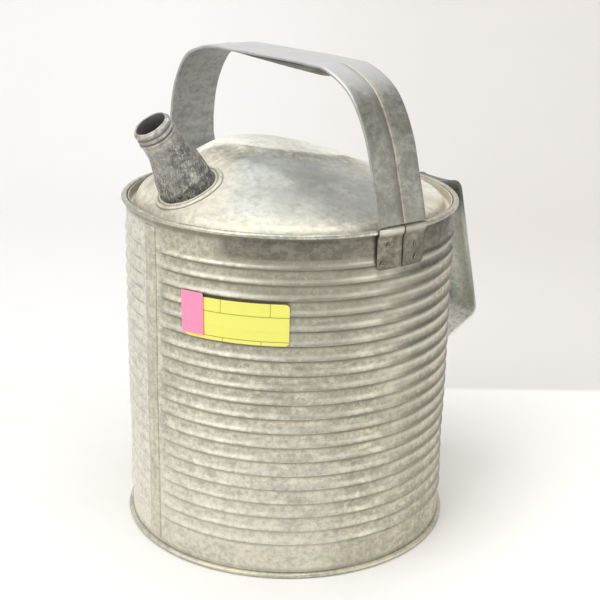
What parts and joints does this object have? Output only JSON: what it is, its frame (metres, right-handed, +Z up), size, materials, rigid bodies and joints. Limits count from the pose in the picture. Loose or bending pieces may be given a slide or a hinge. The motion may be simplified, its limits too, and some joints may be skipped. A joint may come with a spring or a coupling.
{
  "type": "galvanised fuel can",
  "caption": "Round ribbed steel fuel can with a domed top, a short slanted beaded spout, an arched carry handle over the top and a tilt handle opposite the spout.",
  "frame": {"origin": "middle of the whole object's footprint, on the floor; the can's own upright axis is at X -25.3 mm, Y -3.7 mm", "axes": "+Z up; the spout leans towards -X and the tilt handle stands out along +X; the carry handle arches over in the YZ plane with its pictured foot towards -Y"},
  "size_m": [0.2802, 0.2302, 0.3132],
  "materials": {
    "wall_steel": "weathered galvanised sheet, pale warm grey, matt",
    "seam_steel": "weathered galvanised sheet, darker along the fold",
    "head_steel": "weathered galvanised sheet, pale grey with cream dust",
    "rim_steel": "weathered galvanised rolled edge, dusty",
    "collar_steel": "galvanised sheet under cream dust",
    "spout_steel": "dull dark grey galvanised, mottled and scratched",
    "mouth_steel": "worn pale galvanised beads",
    "handle_steel": "smooth weathered galvanised strap",
    "rear_handle_steel": "weathered galvanised strap, slightly blue-green",
    "weld_mark": "dark spot-weld mark",
    "yellow_paper": "matt yellow paper",
    "pink_paper": "matt pink paper"
  },
  "bodies": {
    "root": {"body_shell": "wall_steel", "side_seam": "seam_steel", "top_head": "head_steel", "top_rim": "rim_steel", "bottom_head": "rim_steel", "bottom_rim": "rim_steel", "spout_collar": "collar_steel", "spout_neck": "spout_steel", "spout_mouth": "mouth_steel", "carry_handle": "handle_steel", "handle_grip": "handle_steel", "front_tab_left": "handle_steel", "front_tab_right": "handle_steel", "front_weld_1": "weld_mark", "front_weld_2": "weld_mark", "front_weld_3": "weld_mark", "front_weld_4": "weld_mark", "back_tab_left": "handle_steel", "back_tab_right": "handle_steel", "back_weld_1": "weld_mark", "back_weld_2": "weld_mark", "back_weld_3": "weld_mark", "back_weld_4": "weld_mark", "rear_handle": "rear_handle_steel", "rear_handle_weld_1": "weld_mark", "rear_handle_weld_2": "weld_mark", "rear_handle_weld_3": "weld_mark", "rear_handle_weld_4": "weld_mark", "price_label": "yellow_paper", "lot_label": "pink_paper"}
  },
  "joints": []
}
